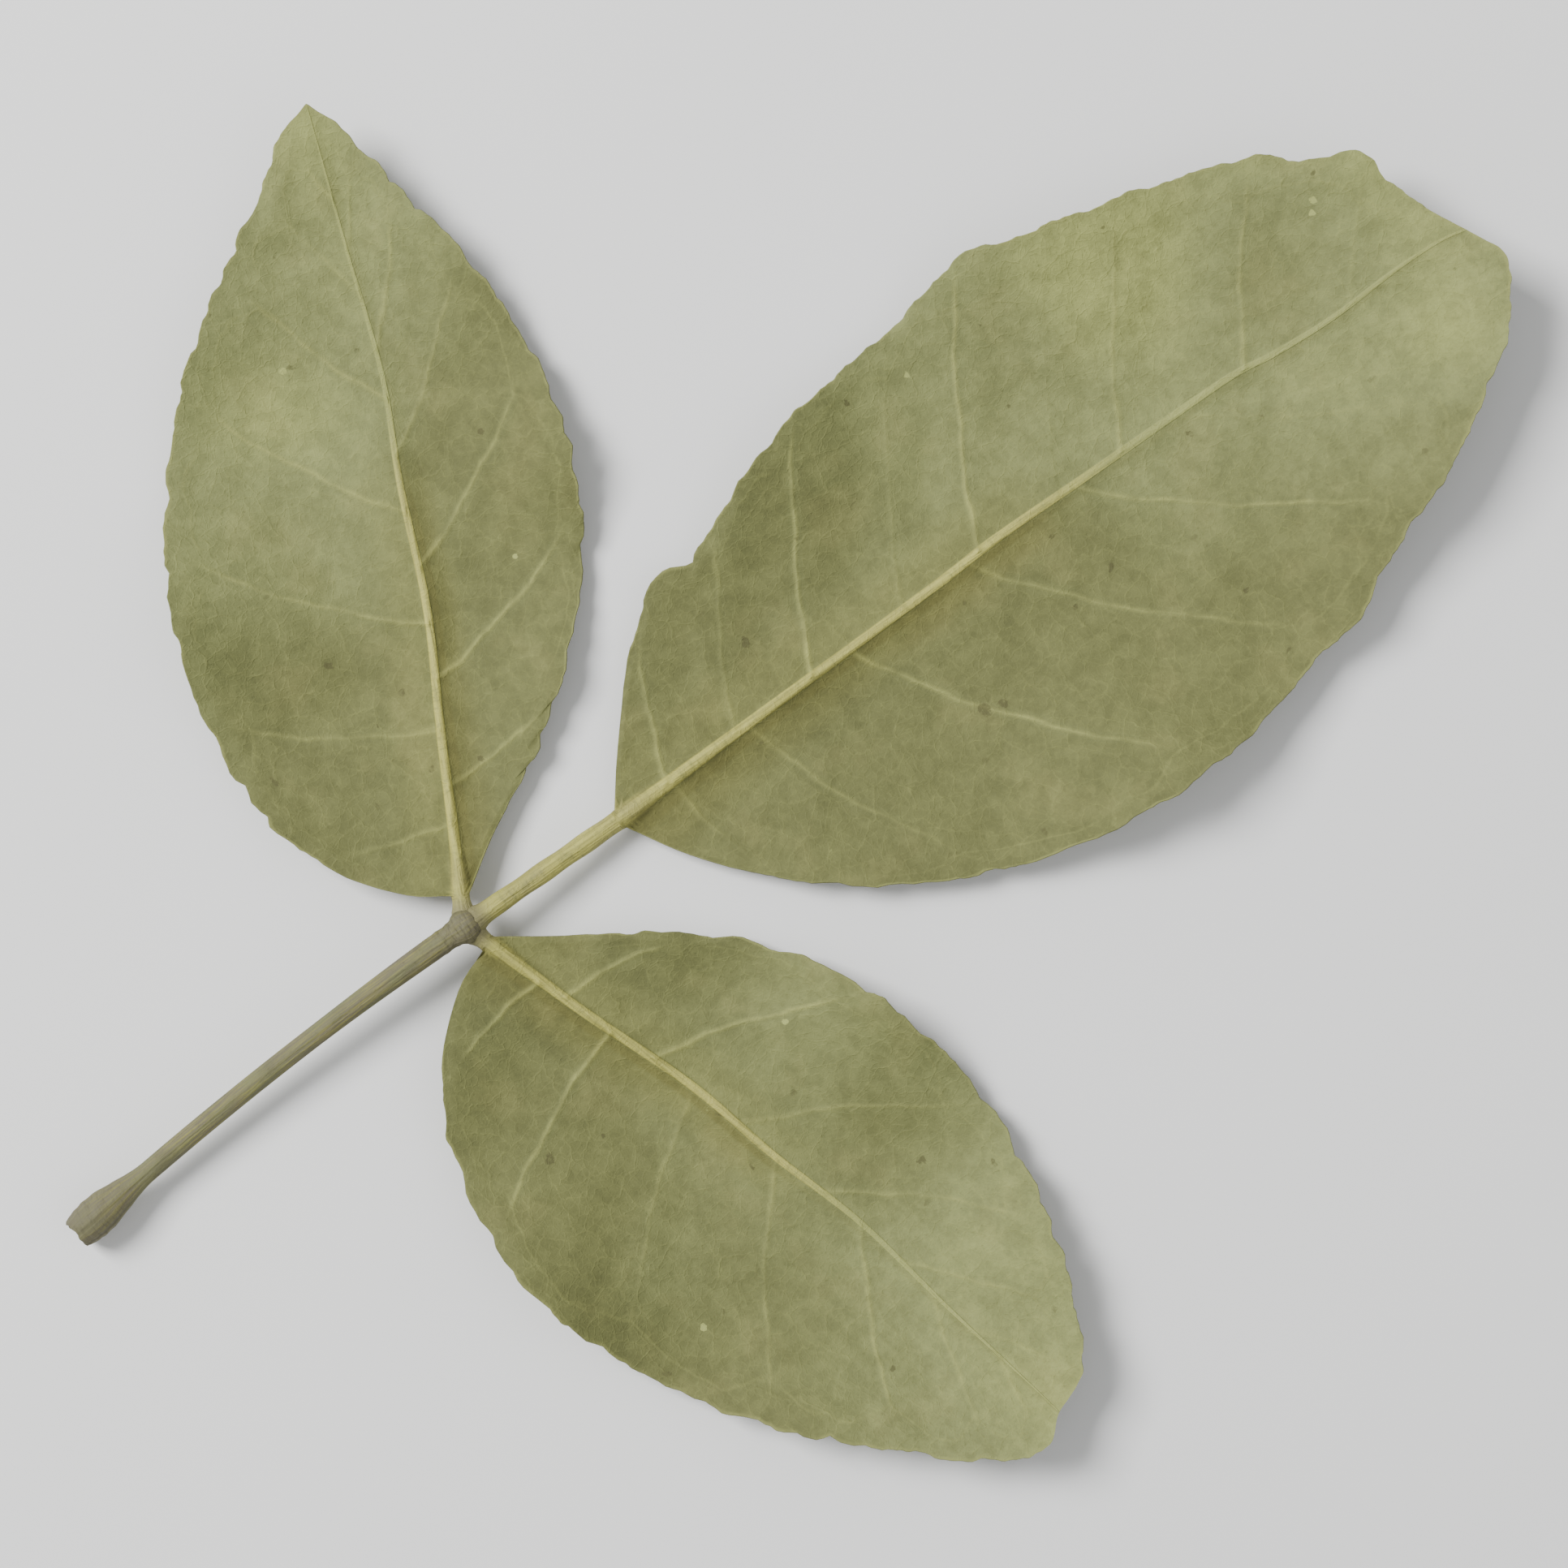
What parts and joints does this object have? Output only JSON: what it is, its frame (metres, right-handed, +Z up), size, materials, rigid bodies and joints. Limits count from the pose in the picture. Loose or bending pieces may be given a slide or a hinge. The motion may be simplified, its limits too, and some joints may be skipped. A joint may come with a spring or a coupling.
{
  "type": "dried bael leaf",
  "caption": "Whole dried trifoliate bael leaf with a stalked end leaflet and side leaflets on a petiole, lying with its pale ribbed underside up.",
  "frame": {"origin": "on the surface that the leaf lies on, under the centre of its footprint", "axes": "+Z up, out of the pale underside; +Y from the petiole's broken end to the tip of the end leaflet; +X to the right in the view from above"},
  "size_m": [0.1052, 0.1202, 0.0071],
  "materials": {
    "petiole": "matte",
    "terminal_leaflet": "matte",
    "left_leaflet": "matte",
    "right_leaflet": "matte"
  },
  "bodies": {
    "root": {"petiole": "petiole", "terminal_leaflet": "terminal_leaflet", "left_leaflet": "left_leaflet", "right_leaflet": "right_leaflet"}
  },
  "joints": []
}
